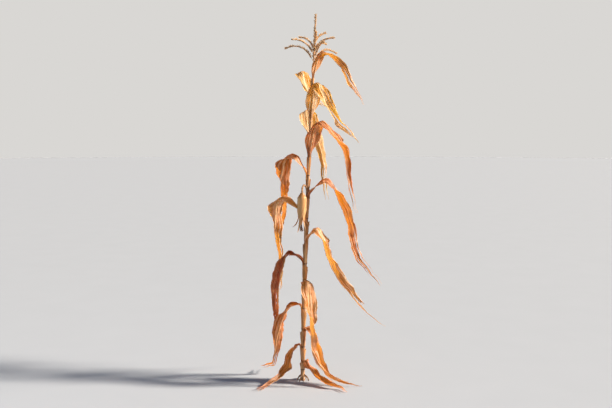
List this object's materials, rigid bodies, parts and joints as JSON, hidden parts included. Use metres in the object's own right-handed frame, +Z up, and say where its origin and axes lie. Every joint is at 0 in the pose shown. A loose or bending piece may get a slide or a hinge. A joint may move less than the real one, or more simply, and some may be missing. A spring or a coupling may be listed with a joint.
{
  "type": "dried maize plant",
  "caption": "Standing dried maize plant with a jointed stalk, long curled papery leaves swept to one side, a hanging husked ear and a branched tassel.",
  "frame": {"origin": "centre of the flat cut of the stalk at ground level", "axes": "+Z up the stalk, +X to the side that the leaves are swept to, -Y to the viewer"},
  "size_m": [0.7441, 0.7577, 2.152],
  "materials": {
    "stalk": "dry fibrous rind, dull olive tan",
    "sheath": "dry papery sheath with parallel veins",
    "blade": "dry papery leaf, straw to orange brown, light shines through it",
    "husk": "dry papery husk with fine ribs",
    "silk": "dry brown threads",
    "tassel": "dry chaffy flower spikes"
  },
  "bodies": {
    "root": {"stalk": "stalk", "leaf_02_sheath": "sheath", "leaf_02_blade": "blade", "leaf_03_sheath": "sheath", "leaf_03_blade": "blade", "leaf_04_sheath": "sheath", "leaf_04_blade": "blade", "leaf_05_sheath": "sheath", "leaf_05_rise": "blade", "leaf_05_fall": "blade", "leaf_06_sheath": "sheath", "leaf_06_rise": "blade", "leaf_06_fall": "blade", "leaf_07_sheath": "sheath", "leaf_07_rise": "blade", "leaf_07_fall": "blade", "leaf_08_sheath": "sheath", "leaf_08_rise": "blade", "leaf_08_fall": "blade", "leaf_09_sheath": "sheath", "leaf_09_rise": "blade", "leaf_09_fall": "blade", "leaf_10_sheath": "sheath", "leaf_10_rise": "blade", "leaf_10_fall": "blade", "leaf_11_sheath": "sheath", "leaf_11_rise": "blade", "leaf_11_fall": "blade", "leaf_12_sheath": "sheath", "leaf_12_rise": "blade", "leaf_12_fall": "blade", "leaf_13_sheath": "sheath", "leaf_13_rise": "blade", "leaf_13_fall": "blade", "leaf_14_sheath": "sheath", "leaf_14_rise": "blade", "leaf_14_fall": "blade", "leaf_15_sheath": "sheath", "leaf_15_rise": "blade", "leaf_15_fall": "blade", "leaf_16_sheath": "sheath", "leaf_16_rise": "blade", "leaf_16_fall": "blade", "ear_shank": "husk", "ear": "husk", "ear_silk": "silk", "tassel": "tassel"}
  },
  "joints": []
}
